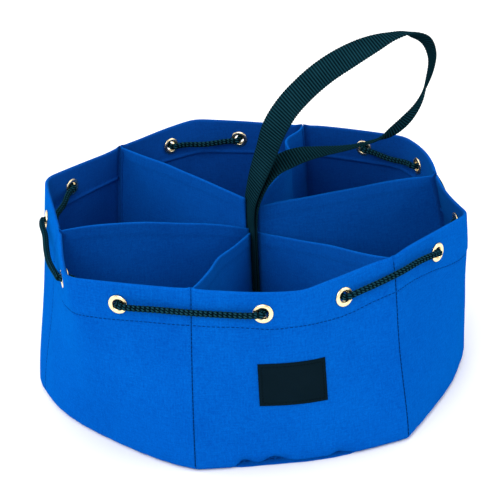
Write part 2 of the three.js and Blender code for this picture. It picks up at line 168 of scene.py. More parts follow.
# %% [markdown]
# ## The wall's shape
# In plan the wall is a ring of twelve corner points: six seams and six panel middles. At the base the seams
# stand out as corners, at the rim the panel middles do. The wall could be lofted between drawn outlines, but
# with a formula the hem, the grommets, the cord and the label all find their places on the same cloth. Each
# half panel is a cubic curve that leaves and meets its end points with a given bow, and the corner at a
# panel's middle is rounded by averaging.

# %% Blends and tables
def mix(a, b, t):
    """Straight blend from a to b."""
    return a + (b - a) * t


def ease(t):
    """Smooth step from 0 to 1: three squares less two cubes."""
    t = np.clip(t, 0, 1)
    return t * t * (3 - 2 * t)


def bell(t):
    """Rounded hump: 1 at 0, falling off with the square of t in the exponent."""
    return np.exp(-(t**2))


def table(columns, rows):
    """A small table whose columns are read by their names."""
    return np.array(rows, dtype=[(name, float) for name in columns.split()])


# %% Ring of corners
RIM = 125.0
LEAN = 1.3
CLOTH = 1.3
HEM = 25.0
FOOT_IN, FOOT_UP, FOOT_SPAN = 3.0, 4.0, 3.6
RING = table("base_deg base_r rim_deg rim_r base_bow rim_bow", [
    (0.5, 146.8, 0, 131.1, 8, 14),
    (30, 138, 28.4, 149, 8, 10.5),
    (60, 146.5, 59.5, 131.2, 8, 3),
    (90, 138, 92.4, 150.9, 8, 5),
    (120, 147, 120.3, 135.5, 8, 4.5),
    (155, 143.5, 149.1, 148.6, 28.5, 3.5),
    (180.5, 149.8, 184, 132, 14, 0),
    (210, 141.6, 209.5, 157.9, 7.5, 8.5),
    (240.9, 147.1, 240.8, 134.9, 4, 13),
    (270, 139, 270.3, 141.4, 6.5, -3.7),
    (297.6, 149.1, 299.5, 131.2, 5, 1),
    (339.3, 142.6, 333, 147.3, 19, -8.4),
])
# Corner number of a seam, and how far it is held in halfway up
PINCHES = {6: 3.0, 10: 3.5}
PANELS = ["back_right", "back", "back_left", "front_left", "front", "front_right"]
SEAMS = len(PANELS)


def drawn_in(z):
    """Rounded foot, 3 mm in at the floor and squared away 4 mm up, less a belly of 1 mm halfway up."""
    foot = FOOT_IN * np.clip((FOOT_UP - z) / FOOT_SPAN, 0, 1) ** 2
    return foot - np.sin(np.pi * np.clip((z - FOOT_UP) / (RIM - FOOT_UP), 0, 1))


def corner(i, z):
    """Corner i of the ring: angle and radius blend with (z / RIM) ** LEAN, and two seams are pinched."""
    row = RING[i % len(RING)]
    t = (z / RIM) ** LEAN
    angle = np.radians(mix(row["base_deg"], row["rim_deg"], t))
    pinch = PINCHES.get(i % len(RING), 0.0) * np.sin(np.pi * z / RIM) ** 2
    radius = mix(row["base_r"], row["rim_r"], t) - drawn_in(z) - pinch
    return radius[..., None] * np.stack([np.cos(angle), np.sin(angle)], -1)


# %% Curves from corner to corner
TAPS = np.linspace(-1, 1, 9)
TAP_BELL = np.cos(TAPS * np.pi / 2.2) ** 2
TAP_WEIGHTS = TAP_BELL / np.sum(TAP_BELL)
ROUND_RIM, ROUND_MORE, ROUND_PART = 0.17, 0.25, 0.75
ROUND_Z, ROUND_OVER = 105, 45


def half_panel(i, s, z):
    """Cubic curve from corner i to corner i + 1, both end tangents turned out of the chord by the bow."""
    row = RING[i % len(RING)]
    bow = np.radians(mix(row["base_bow"], row["rim_bow"], (z / RIM) ** LEAN))[..., None]
    p, q = corner(i, z), corner(i + 1, z)
    chord = q - p
    across = np.stack([-chord[..., 1], chord[..., 0]], -1)
    leave = chord * np.cos(bow) - across * np.sin(bow)
    arrive = chord * np.cos(bow) + across * np.sin(bow)
    s = s[..., None]
    ends = (2 * s**3 - 3 * s**2 + 1) * p + (3 * s**2 - 2 * s**3) * q
    return ends + (s**3 - 2 * s**2 + s) * leave + (s**3 - s**2) * arrive


def panel_plan(k, u, z):
    """Panel k in plan, u from 0 over 1 at its middle to 2: a mean of nine points, wider lower down."""
    reach = ROUND_RIM + ROUND_MORE * ease((ROUND_Z - z) / ROUND_OVER)
    reach = reach * np.clip(1 - ((u - 1) / ROUND_PART) ** 2, 0, 1)
    total = 0
    for tap, weight in zip(TAPS, TAP_WEIGHTS):
        v = u + reach * tap
        first = half_panel(2 * k, np.clip(v, 0, 1), z)
        second = half_panel(2 * k + 1, np.clip(v - 1, 0, 1), z)
        total = total + weight * np.where((v < 1)[..., None], first, second)
    return total


# %% Places on the wall
MEASURE_Z = 60.0
TANGENT_STEP = 0.004
FRAME_STEP = 0.02


def wall_point(k, u, z, depth=0.0):
    """Points of panel k at a depth behind its outer face, measured level and square to the panel."""
    u, z, depth = np.broadcast_arrays(*(np.asarray(a, float) for a in (u, z, depth)))
    before, after = np.maximum(u - TANGENT_STEP, 0), np.minimum(u + TANGENT_STEP, 2)
    along = unit(panel_plan(k, after, z) - panel_plan(k, before, z))
    inward = np.stack([-along[..., 1], along[..., 0]], -1)
    plan = panel_plan(k, u, z) + depth[..., None] * inward
    return np.concatenate([plan, z[..., None]], -1)


def wall_frame(k, u, z):
    """Origin, along, up and out of the wall's outer face at one place or at many."""
    u, z = np.asarray(u, float), np.asarray(z, float)
    before, after = np.maximum(u - FRAME_STEP, 0), np.minimum(u + FRAME_STEP, 2)
    along = unit(wall_point(k, after, z) - wall_point(k, before, z))
    rise = unit(wall_point(k, u, z + 1) - wall_point(k, u, z - 1))
    out = unit(np.cross(along, rise))
    return wall_point(k, u, z), along, np.cross(out, along), out


def seam_axes(seam, z):
    """Outward and aside directions in plan at a seam, and the seam's radius."""
    p = corner(2 * seam, z)
    outward = unit(p)
    return outward, np.stack([-outward[..., 1], outward[..., 0]], -1), np.linalg.norm(p, axis=-1)


# %% Distances along the wall
def half_lengths(k, z):
    """Lengths of the two halves of panel k, straight from corner to corner."""
    z = np.asarray(z, float)
    a, b, c = (corner(2 * k + i, z) for i in range(3))
    return np.linalg.norm(b - a, axis=-1), np.linalg.norm(c - b, axis=-1)


def cloth_lengths(k):
    """Those two lengths at the height where the cloth of a panel is measured."""
    return tuple(float(length) for length in half_lengths(k, MEASURE_Z))


def to_u(run, first, second):
    """The u of a distance from the first seam, for halves of the given lengths."""
    return np.where(run < first, run / first, 1 + (run - first) / second)


def to_run(u, first, second):
    """The distance from the first seam of a given u, for halves of the given lengths."""
    return np.where(u < 1, u * first, first + (u - 1) * second)


def from_seam(k, run, z, last=False):
    """The u of a place on panel k, given its distance in millimetres from the first or the last seam."""
    first, second = half_lengths(k, z)
    return to_u(first + second - run if last else run, first, second)


print("wall length at the rim", round(sum(float(sum(half_lengths(k, RIM))) for k in range(SEAMS))), "mm")

# %% [markdown]
# ## Wall panels
# On the real bag a panel is one piece of cloth, hemmed at the rim and sewn to its neighbours with a divider
# in each seam. A plane with a Solidify modifier would have no seams, so the grid itself has it all: the
# outer face, the fold over the rim, the hem inside, and at both ends a rounded turn into the seam with its
# allowance along the divider. Small waves stand for the pull of the stitches at hem and foot. A round hole
# for a grommet is made by pushing the grid apart round one of its points.

# %% Grommet places, hem and foot
GROMMET_Z = 111.0
# Distances of a panel's two grommets from its first and its last seam
GROMMET_RUNS = [(46, 46), (48.5, 46), (50, 48), (43.5, 47), (44.5, 40), (46, 48)]
GROMMETS = [
    (k, float(from_seam(k, run, GROMMET_Z, last)))
    for k, runs in enumerate(GROMMET_RUNS)
    for run, last in zip(runs, (False, True))
]
HEM_Z = RIM - HEM + 0.8
HEM_TAPS = (-6, -3, 0, 3, 6)
HEM_LEVEL = [(0, 0)]
# Distances along a panel, and how far the hem's line lies lower there
HEM_DROPS = {
    "front_left": [(0, 6), (34, 10), (48, 9), (62, 5), (75, 3), (95, 2), (120, 0.6), (149, -0.6)],
    "front": [(0, -0.5), (28, -1.2), (52, 1.5), (68, 0.5), (95, 3), (105, 2.7), (124, -0.6), (140, -1.3)],
    "front_right": [(0, -1.4), (20, -1), (35, 0.4), (50, 2.4), (68, 6.5), (81, 8), (110, 6), (152, 0)],
}
LIP_FROM, LIP_TO, LIP_FADE = 22.0, 106.0, 8
PUCKERS = table("at wide deep", [(31.5, 6.0, 0.8), (51.0, 7.5, 1.0), (92.0, 4.5, 0.5)])


def hem_line(k, run):
    """Height of the hem's stitched line: a mean of five places on straight runs between the given drops."""
    drops = table("at drop", HEM_DROPS.get(PANELS[k], HEM_LEVEL))
    return HEM_Z - sum(np.interp(run + tap, drops["at"], drops["drop"]) for tap in HEM_TAPS) / len(HEM_TAPS)


def foot_lip(k, run):
    """1 where the base's edge shows below the foot of the front panel, else 0."""
    shown = ease((run - LIP_FROM) / LIP_FADE) * ease((LIP_TO - run) / LIP_FADE)
    return shown if k == PANELS.index("front") else np.zeros_like(run)


def foot_pucker(k, run):
    """How far the foot is gathered in above that edge, from 0 to 1: rounded humps along the panel."""
    humps = PUCKERS["deep"] * bell((run[..., None] - PUCKERS["at"]) / PUCKERS["wide"])
    return humps.max(-1) * foot_lip(k, run)


print("grommets", len(GROMMETS))

# %% Cloth waves
WAVES = table("high along up panel", [(0.5, 17, 23, 2.1), (0.4, 29, -31, 1.3), (0.25, 9.5, 41, 0.7)])
SWELL = 19
HEM_STEP, HEM_GROOVE = 0.45, 0.5
HEM_PULL, FOOT_PULL = 0.1, 0.12
HEM_PULL_FADE, FOOT_PULL_FADE = 4, 8
WAVE_FROM_SEAM, HEM_FROM_SEAM = 14, 3


def cloth_waves(k, run, z, ends):
    """Rise of the cloth in millimetres: three slow waves, the hem's step and groove, and stitch pull."""
    waves = [w["high"] * np.sin(run / w["along"] + z / w["up"] + w["panel"] * k) for w in WAVES]
    slow = waves[0] + waves[1] + waves[2] * np.sin(z / SWELL + k)
    over = z - hem_line(k, run)
    hem = HEM_STEP * ease((over + 0.6) / 1.6) - HEM_GROOVE * bell(over / 0.9)
    pull = HEM_PULL * np.sin(run / 1.4 + 0.6 * np.sin(run / 11)) * np.exp(-np.abs(over) / HEM_PULL_FADE)
    foot = FOOT_PULL * np.sin(run / 2.6 + np.sin(run / 13 + k)) * np.exp(-z / FOOT_PULL_FADE)
    return (slow + pull + foot) * ease(ends / WAVE_FROM_SEAM) + hem * ease(ends / HEM_FROM_SEAM)


# %% Rows and columns of a panel
COLUMNS = 125
SEAM_RUN = 0.85
HOLE_R = 4.0
HOLE_REACH = 9.5
FOLD = np.radians([15, 35, 55, 75])
FLAT_Z = np.concatenate([
    [0.4, 0.7, 1.1, 1.6, 2.2, 3, 4, 5.2, 6.6, 8.2, 10],
    np.arange(12, 89, 2.4),
    np.arange(89.4, 104.5, 0.75),
    np.linspace(105, GROMMET_Z, 6),
    np.linspace(112.2, RIM - CLOTH - 0.4, 9),
])
ROW_Z = np.concatenate([FLAT_Z, RIM - CLOTH + CLOTH * np.sin(FOLD)])
FRONT_DEPTH = CLOTH * np.concatenate([np.zeros(len(FLAT_Z)), 1 - np.cos(FOLD)])
BACK_DEPTH = CLOTH * (1 + np.concatenate([ease((FLAT_Z - (RIM - HEM) + 1.2) / 0.8), np.cos(FOLD)]))


def opened(u, z, hole_u, span):
    """Moves places near a hole's middle outward, so that the middle opens to a round hole."""
    x, y = (u - hole_u) * span, z - GROMMET_Z
    far = np.hypot(x, y)
    pushed = np.where(far < HOLE_REACH, HOLE_R + far * (1 - HOLE_R / HOLE_REACH), far)
    grown = pushed / np.maximum(far, 1e-6)
    return hole_u + x * grown / span, GROMMET_Z + y * grown


def panel_grid(k):
    """u and height of the points of panel k, opened round its grommets, and the columns of these."""
    lengths = cloth_lengths(k)
    u = from_seam(k, np.linspace(SEAM_RUN, sum(lengths) - SEAM_RUN, COLUMNS), MEASURE_Z)
    holes = [g for panel, g in GROMMETS if panel == k]
    at = [int(np.abs(u - g).argmin()) for g in holes]
    u[at] = holes
    uu, zz = np.meshgrid(u, ROW_Z)
    for g in holes:
        uu, zz = opened(uu, zz, g, lengths[int(g >= 1)])
    return uu, zz, at


# %% Seam turns
SEAM_HALF, SEAM_OPEN, SEAM_OPENS_OVER = 0.03, 0.75, 2.5
SEAM_CLOTH = 0.55
ALLOWANCE, ALLOWANCE_FOOT = 3.6, 1.2
PEAK, PEAK_UP, PEAK_WIDE = 0.9, 12, 3
SLOPE, SLOPE_UP = 4, 18
TURN = np.radians([12, 30, 48, 66, 80])
TUCKED = np.array([1, 0.75, 0.5, 0.25])
TURN_COLUMNS = len(TUCKED) + len(TURN)
TURN_LONG = 11


def seam_peak(ends, z):
    """How far the bulk of a seam lifts the rim beside it."""
    return PEAK * ease((z - RIM + PEAK_UP) / PEAK_UP) * bell(ends / PEAK_WIDE)


def squeezed(depth):
    """Depth of the cloth where the seam holds it thin."""
    return SEAM_CLOTH * np.minimum(depth / CLOTH, 1)[:, None]


def seam_turn(k, seam, way, z, depth):
    """Columns from the tip of the allowance along the divider and round a quarter turn to the panel."""
    outward, aside, _ = seam_axes(seam, z)
    start = panel_plan(k, from_seam(k, np.full_like(z, SEAM_RUN), z, way < 0), z)
    reach = np.sum(start * outward, -1)[:, None]
    off = way * np.sum(start * aside, -1)[:, None]
    bend = off - SEAM_HALF
    length = mix(ALLOWANCE_FOOT, ALLOWANCE, ease((z - 1.8) / 1.4))[:, None]
    tuck = squeezed(depth)
    gap = mix(SEAM_HALF, SEAM_OPEN, ease(TUCKED * length / SEAM_OPENS_OVER))
    axis = reach - bend
    radial = np.concatenate([axis - length * TUCKED, axis + (bend - tuck) * np.sin(TURN)], 1)
    lateral = np.concatenate([gap + tuck, off - (bend - tuck) * np.cos(TURN)], 1)
    plan = radial[..., None] * outward[:, None] + way * lateral[..., None] * aside[:, None]
    sloped = SLOPE * ease((z[:, None] - RIM + SLOPE_UP) / SLOPE_UP) * np.append(TUCKED, np.zeros(len(TURN)))
    high = z[:, None] + seam_peak(0.0, z[:, None]) - sloped
    return np.concatenate([plan, high[..., None]], -1)


# %% Panel sheets
FOOT_ZONE, FOOT_POWER = 9, 1.3
LIP_TUCK, PUCKER_TUCK = 1.8, 4.6
LIP_LIFT, PUCKER_LIFT = 1.7, 2.3
RIM_WAVE, RIM_WAVE_LONG, RIM_WAVE_PANEL, RIM_WAVE_FROM_SEAM = 0.5, 21, 5, 20
FULL_CLOTH_FROM_SEAM = 5


def shaped_foot(k, run, z):
    """How far the foot of a panel is tucked in and lifted above the base's edge, fading out upward."""
    lip, gather = foot_lip(k, run), foot_pucker(k, run)
    low = np.clip(1 - z / FOOT_ZONE, 0, 1)
    tuck = (LIP_TUCK * lip + PUCKER_TUCK * gather) * low**FOOT_POWER
    return tuck, (LIP_LIFT * lip + PUCKER_LIFT * gather) * low


def wall_panel(k):
    """Front and back grids of panel k with its two seam turns, its faces, and its points' cloth places."""
    uu, zz, holes = panel_grid(k)
    first, second = cloth_lengths(k)
    run = to_run(uu, first, second)
    ends = np.minimum(run, first + second - run)
    tuck, lift = shaped_foot(k, run, zz)
    zz = zz + lift
    wave = RIM_WAVE * np.sin(run / RIM_WAVE_LONG + RIM_WAVE_PANEL * k) * ease((zz - (RIM - HEM)) / HEM)
    zz = zz + wave * ease(ends / RIM_WAVE_FROM_SEAM) + seam_peak(ends, zz)
    rise = cloth_waves(k, run, zz, ends) - tuck
    grids = []
    for depth in (FRONT_DEPTH, BACK_DEPTH):
        deep = mix(squeezed(depth), depth[:, None], ease((ends - SEAM_RUN) / FULL_CLOTH_FROM_SEAM))
        start = seam_turn(k, k, 1, ROW_Z, depth)
        end = seam_turn(k, (k + 1) % SEAMS, -1, ROW_Z, depth)[:, ::-1]
        grids.append(np.concatenate([start, wall_point(k, uu, zz, deep - rise), end], 1))
    turned = np.broadcast_to(np.linspace(-TURN_LONG, 0, TURN_COLUMNS), (len(ROW_Z), TURN_COLUMNS))
    across = np.concatenate([turned, run, first + second - turned[:, ::-1]], 1)
    places = np.stack(np.broadcast_arrays(across, ROW_Z[:, None]), -1)
    row = int(np.abs(ROW_Z - GROMMET_Z).argmin())
    faces = sheet_faces(*across.shape, holes=[(row, TURN_COLUMNS + j) for j in holes])
    return np.stack(grids), faces, np.stack([places, places])


cloth_pieces = []
for k, name in enumerate(PANELS):
    points, faces, uv = wall_panel(k)
    # The outer grid carries 1 and the inner grid 0: the finish gives inner faces a darker colour as painted
    # shade inside the bag.
    outside = np.repeat([1.0, 0.0], points[0].size // 3)
    cloth_pieces.append(add_piece(f"panel_{name}", points, faces, uv, outside, [f"wall_panel_{name}"]))

# %% [markdown]
# ## Base
# The base is a flat six-cornered cloth inside the foot of the wall. A flat plate cut to the outline would
# show a hard edge, so it is made of rings from the middle to the edge and back below, with a soft rolled
# edge. Where the front panel is gathered in, the edge of the base shows below it.

# %% Base cloth
BASE = 1.6
EDGE_Z = 1.2
EDGE_POINTS = 40
EDGE_GAP, EDGE_OUT, EDGE_AT_SEAM = 0.1, 1.1, 1.6
EDGE_THINNER, EDGE_FROM, EDGE_FADE = 0.45, 0.9, 0.05
BASE_RINGS = table("part high", [
    (0.02, 1), (0.2, 1), (0.4, 1), (0.6, 1), (0.75, 1), (0.88, 1), (0.95, 1), (0.985, 1), (0.995, 0.9),
    (1, 0.68), (1, 0.32), (0.995, 0.1), (0.985, 0), (0.95, 0), (0.75, 0), (0.4, 0), (0.02, 0),
])


def base_outline():
    """Edge of the base in plan, behind the wall and further out where it shows, and how far it shows."""
    u = np.linspace(0, 2, EDGE_POINTS, endpoint=False)
    rim, lip = [], []
    for k in range(SEAMS):
        first, second = cloth_lengths(k)
        run = to_run(u, first, second)
        lip.append(foot_lip(k, run))
        rise = cloth_waves(k, run, EDGE_Z, np.minimum(run, first + second - run))
        rim.append(wall_point(k, u, EDGE_Z, CLOTH + EDGE_GAP - EDGE_OUT * lip[k] - rise)[:, :2])
    rim = np.concatenate(rim)
    corners = rim[::EDGE_POINTS]
    rim[::EDGE_POINTS] = corners * (1 - EDGE_AT_SEAM / np.linalg.norm(corners, axis=1, keepdims=True))
    return rim, np.concatenate(lip)


def base_sheet(rim, lip):
    """Rings of the outline times a part, with a share of the thickness; thinner where the edge shows."""
    part, high = BASE_RINGS["part"][:, None], BASE_RINGS["high"][:, None] * BASE
    flat = 1 - EDGE_THINNER * lip * ease((part - EDGE_FROM) / EDGE_FADE)
    return np.concatenate([part[..., None] * rim, (high * flat)[..., None]], -1)


base_rim, base_lip = base_outline()
rings = base_sheet(base_rim, base_lip)
faces = band_faces(*rings.shape[:2], closed=False)[:, ::-1]
# The base carries 1 at every point, so it takes the lit colour and no painted shade.
outside = np.ones(rings[..., 0].shape)
cloth_pieces.append(add_piece("base_cloth", rings, faces, rings[..., :2], outside, ["base"]))

# %% [markdown]
# ## Dividers
# A divider is a sheet of cloth from the middle to a seam. It could be a flat plate, but cloth that is sewn
# at two edges sways to one side and ripples towards its free top edge, so both are in the formula. The top
# edge is folded over to a narrow hem.

# %% Divider places
DIVIDER = 1.2
DIVIDERS = table("start wall halfway middle sway crease", [
    (4.6, 123.5, 124, 118, -4.5, 0),
    (7.8, 124.5, 122.5, 118, -7, 6),
    (5.6, 124.5, 124.8, 123.5, -1, 0),
    (2.2, 124.5, 120.5, 103, 4, 0),
    (5.6, 124, 113, 102, -3, 0),
    (5.6, 124, 112, 102, 4, 0),
])
DIVIDER_NAMES = ["right", "back_right", "back_left", "left", "front_left", "front_right"]
SEAM_SHORT = 2.2
LOOSE, CREASE_FROM, CREASE_TO = 0.9, 0.6, 0.98


def divider_top(row, f):
    """Height of the top edge: the parabola through its heights at the middle, halfway and at the wall."""
    bend = 2 * (row["middle"] + row["wall"] - 2 * row["halfway"])
    return row["middle"] + (row["wall"] - row["middle"] - bend) * f + bend * f * f


def divider_point(seam, f, z, off):
    """Place at a part f of the way from middle to wall and at height z, off to the side of the cloth."""
    row = DIVIDERS[seam]
    outward, aside, radius = seam_axes(seam, z)
    reach = mix(row["start"], radius - SEAM_SHORT, f)
    part = z / RIM
    loose = np.sin(np.pi * np.minimum(f / LOOSE, 1)) ** 2
    crease = np.sin(np.pi * np.clip((f - CREASE_FROM) / (CREASE_TO - CREASE_FROM), 0, 1)) ** 2
    ripple = 0.7 * np.sin(9 * f + 3 * part + seam) * part**2
    ripple = ripple + 0.4 * np.sin(17 * f - 5 * part + 2 * seam) * part
    sway = (row["sway"] * loose + row["crease"] * crease) * part + loose * ripple
    plan = reach[..., None] * outward + (sway + off)[..., None] * aside
    return np.concatenate([plan, z[..., None]], -1)


# %% Divider sheets
DIVIDER_FOOT = 1.9
DIVIDER_HEM = 11.0
DIVIDER_LONG = 140
HEM_THICKER, HEM_OVER = 0.35, 1.5
STITCH_GROOVE, STITCH_BELOW, STITCH_WIDE = 0.25, 1.6, 0.8
TOP_ROUND, TOP_LEAST = 0.95, 0.03
SEWN_FROM = 0.94
DIVIDER_COLUMNS = np.linspace(0, 1, 73)
DIVIDER_ROWS = np.concatenate([
    np.linspace(0, 0.84, 26),
    np.linspace(0.855, 0.985, 14),
    [0.99, 0.995, 0.9985],
])


def divider_sheet(seam):
    """Both faces: half the cloth each way, thicker in the hem, and rounded together over the top edge."""
    f, v = np.meshgrid(DIVIDER_COLUMNS, DIVIDER_ROWS)
    top = divider_top(DIVIDERS[seam], f)
    z = mix(DIVIDER_FOOT, top, v)
    below = top - z
    groove = STITCH_GROOVE * bell((below - DIVIDER_HEM + STITCH_BELOW) / STITCH_WIDE)
    thick = DIVIDER / 2 + HEM_THICKER * ease((DIVIDER_HEM - below) / HEM_OVER) - groove
    thick = thick * np.sqrt(np.clip(1 - (1 - np.clip(below / TOP_ROUND, 0, 1)) ** 2, TOP_LEAST, 1))
    thick = np.where(f > SEWN_FROM, np.minimum(thick, DIVIDER / 2), thick)
    grids = [divider_point(seam, f, z, way * thick) for way in (-1, 1)]
    return np.stack(grids), sheet_faces(*f.shape), np.stack([np.stack([f * DIVIDER_LONG, z], -1)] * 2)


for seam, name in enumerate(DIVIDER_NAMES):
    points, faces, uv = divider_sheet(seam)
    # Both faces of a divider carry 0.5: a colour halfway between the lit colour and the painted shade of the
    # inner faces.
    between = np.full(points[..., 0].shape, 0.5)
    cloth_pieces.append(add_piece(f"partition_{name}", points, faces, uv, between, [f"divider_{name}"]))

# %% [markdown]
# ## Carry strap
# The strap is one length of black webbing, folded to a loop. A flat curve with a bevel could carry it, but
# would not show its ribs. Here a section is carried along the middle line, which lies in one upright plane,
# and rolls about that line as it goes, so that first one face shows and then the other. The ribs across it
# are real relief, one about every two millimetres, and they bead its edges.

# %% Smooth paths
def smooth_path(stations, step, closed=False):
    """Points every step millimetres on a cubic curve; a tangent is the mean of two slopes by nearness."""
    if closed:
        p = np.concatenate([stations[-2:], stations, stations[:3]])
    else:
        before, after = 2 * stations[:1] - stations[1:2], 2 * stations[-1:] - stations[-2:-1]
        p = np.concatenate([before, stations, after])
    gaps = np.linalg.norm(np.diff(p[:, :3], axis=0), axis=1)[:, None]
    slope = np.diff(p, axis=0) / gaps
    tangent = (slope[:-1] * gaps[1:] + slope[1:] * gaps[:-1]) / (gaps[:-1] + gaps[1:])
    p, gaps = p[1:-1], gaps[1:-1, 0]
    if closed:
        p, tangent, gaps = p[1:-1], tangent[1:-1], gaps[1:-1]
    ends = np.concatenate([[0], np.cumsum(gaps)])
    t = np.linspace(0, ends[-1], int(round(ends[-1] / step)) + 1)
    t = t[:-1] if closed else t
    i = np.clip(np.searchsorted(ends, t, "right") - 1, 0, len(gaps) - 1)
    s = ((t - ends[i]) / gaps[i])[:, None]
    g = gaps[i][:, None]
    curve = (2 * s**3 - 3 * s**2 + 1) * p[i] + (3 * s**2 - 2 * s**3) * p[i + 1]
    return curve + g * ((s**3 - 2 * s**2 + s) * tangent[i] + (s**3 - s**2) * tangent[i + 1]), t


# %% Webbing
STRAP_HALF = 12.5
STRAP_THICK = 0.8
STRAP_STEP = 0.375
RIB = 1.9
RIB_HIGH, RIB_BEAD, RIB_SINK, RIB_FROM = 0.26, 0.02, 0.1, 0.3
SELVEDGE_POWER, SELVEDGE_LEAST = 14, 0.12
STRAP_POINTS = 17
TAIL = 0.95
STRAP_PATH = table("x z roll", [
    (-TAIL, 1.9, 0), (-TAIL, 60, 0), (-TAIL, 104, 0), (-TAIL, 114, 0), (-0.2, 123, 1), (1.9, 131, 4),
    (5.4, 141, 9), (11, 155, 15), (18, 173, 20), (27.5, 187.2, 18), (38.5, 198, 17), (52.5, 208.5, 16.5),
    (69.5, 217.5, 14), (86, 224.2, 4.5), (101, 228.4, -10.5), (112, 229, -17.5), (119.5, 225.2, -21),
    (125, 218, -7), (127, 207, 9), (123.5, 191.5, 21), (117.7, 177.5, 35), (108.2, 166.3, 43),
    (98, 159.3, 39.5), (88, 155.5, 25), (77, 153.6, 22), (66.8, 152.8, 17), (51, 152.7, 9),
    (36.2, 152, 0.5), (26.5, 149.6, -3), (18.5, 146, -1), (10.5, 138, 1), (4.6, 128, 0), (1.7, 118, 0),
    (TAIL, 108, 0), (TAIL, 60, 0), (TAIL, 1.9, 0),
])


def strap_sections():
    """Sections across the path: a flat rounded profile turned by the roll, with a sine of ribs on it."""
    level = np.zeros(len(STRAP_PATH))
    stations = np.stack([STRAP_PATH["x"], level, STRAP_PATH["z"], STRAP_PATH["roll"]], -1)
    path, run = smooth_path(stations, STRAP_STEP)
    middle, roll = path[:, :3], np.radians(path[:, 3])[:, None]
    along = unit(np.gradient(middle, axis=0))
    inward = np.stack([along[:, 2], 0 * run, -along[:, 0]], -1)
    across = np.sin(roll) * inward - np.cos(roll) * np.array([0, 1, 0])
    face = np.cross(along, across)
    w = np.sin(np.linspace(-1, 1, STRAP_POINTS) * np.pi / 2) * STRAP_HALF
    flat = np.clip(1 - (np.abs(w) / STRAP_HALF) ** SELVEDGE_POWER, SELVEDGE_LEAST, 1)
    flat = STRAP_THICK * flat**0.5
    beat = np.sin(2 * np.pi * run / RIB)[:, None]
    rib = RIB_HIGH * beat * np.clip(flat / STRAP_THICK - RIB_FROM, 0, 1)
    high = np.concatenate([flat - RIB_SINK + rib, -(flat - RIB_SINK - rib)[:, ::-1]], 1)
    wide = np.concatenate([w, w[::-1]]) * (1 + RIB_BEAD * beat)
    points = middle[:, None] + wide[..., None] * across[:, None] + high[..., None] * face[:, None]
    # Rib tops carry up to 1 and valleys down to -1: the finish turns this into a painted highlight on the
    # ribs and painted shade between them.
    shade = np.concatenate([rib, -rib[:, ::-1]], 1) / RIB_HIGH
    return points, np.stack(np.broadcast_arrays(wide, run[:, None]), -1), shade


points, uv, shade = strap_sections()
faces = band_faces(*points.shape[:2], closed=False)[:, ::-1]
strap_piece = add_piece("strap_webbing", points, faces, uv, shade, ["strap"])

# %% [markdown]
# ## Drawcord
# The cord is one closed loop. It passes outside each seam and inside each compartment, and turns through
# the grommets. A smooth tube with a bump map would look like plastic up close, so its braid is modelled:
# strands wind round the middle line both ways and pass over and under each other, so a strand's distance
# from the line swings up where it passes over and down where it passes under.

# %% Cord path
CORD_R = 2.3
CORD_STEP = 0.5
CORD_SAG = 0.8
DOWN = np.array([0, 0, -1])
OUTSIDE = table("part lift", [(0.28, 3.4), (0.5, 3.1), (0.72, 3.4)])
# How far the cord hangs below the grommets and stands off at three places outside each seam
DROOP = np.array([(2, 3, 2), (2, 3, 2), (0, 0, 0), (-0.8, -0.2, -0.6), (-2.8, -4.4, -4.2), (2, 3, 2)])
STAND = np.array([(0, 0, 0), (0, 0, 0), (0, 2.7, 2.6), (0, 0, 0), (0, 0, 0), (0, 0, 0)])
BEND = table("run lift share", [(0, 0.8, 0), (1.5, 3.0, 0.15), (5, 3.5, 0.4)])


def through_wall(k):
    """Bends of the cord through both grommets of panel k: outside, a sag inside, and outside again."""
    (o1, a1, _, n1), (o2, a2, _, n2) = (wall_frame(k, g, GROMMET_Z) for panel, g in GROMMETS if panel == k)
    run, lift, drop = BEND["run"][:, None], BEND["lift"][:, None], BEND["share"][:, None] * DOWN
    before = (o1 - a1 * run + n1 * lift + drop * DROOP[k - 1][2])[::-1]
    after = o2 + a2 * run + n2 * lift + drop * DROOP[k][0]
    entered = o1 + a1 * run - n1 * (2 * CLOTH + lift)
    leaving = (o2 - a2 * run - n2 * (2 * CLOTH + lift))[::-1]
    sag = (entered[-1] + leaving[0]) / 2 + CORD_SAG * DOWN
    return np.concatenate([before, entered, sag[None], leaving, after])


def outside_seam(k):
    """Three places of the cord outside the seam after panel k, each with its own droop and distance."""
    following = (k + 1) % SEAMS
    to_seam, beyond = GROMMET_RUNS[k][1], GROMMET_RUNS[following][0]
    run = (to_seam + beyond) * OUTSIDE["part"] - to_seam
    z = GROMMET_Z - DROOP[k]
    lift = OUTSIDE["lift"] + STAND[k]
    here = wall_point(k, from_seam(k, np.abs(run), z, True), z, -lift)
    there = wall_point(following, from_seam(following, np.abs(run), z), z, -lift)
    return np.where(run[:, None] < 0, here, there)


cord_stations = np.concatenate([part(k) for k in range(SEAMS) for part in (through_wall, outside_seam)])
cord_path, cord_run = smooth_path(cord_stations, CORD_STEP, closed=True)
print("drawcord", round(float(cord_run[-1])), "mm round")

# %% Braid
STRANDS = 6
BRAID_TURNS = 51
STRAND_SIDES = 4
STRAND_DEPTH, STRAND_SWING, SWING_PART, WAY_PART = 0.8, 0.34, 0.8, 0.2
STRAND_HALF, STRAND_WAY, STRAND_HIGH = 0.64, 0.12, 0.42
SHADE_SWING, SHADE_WAY = 0.3, 0.7


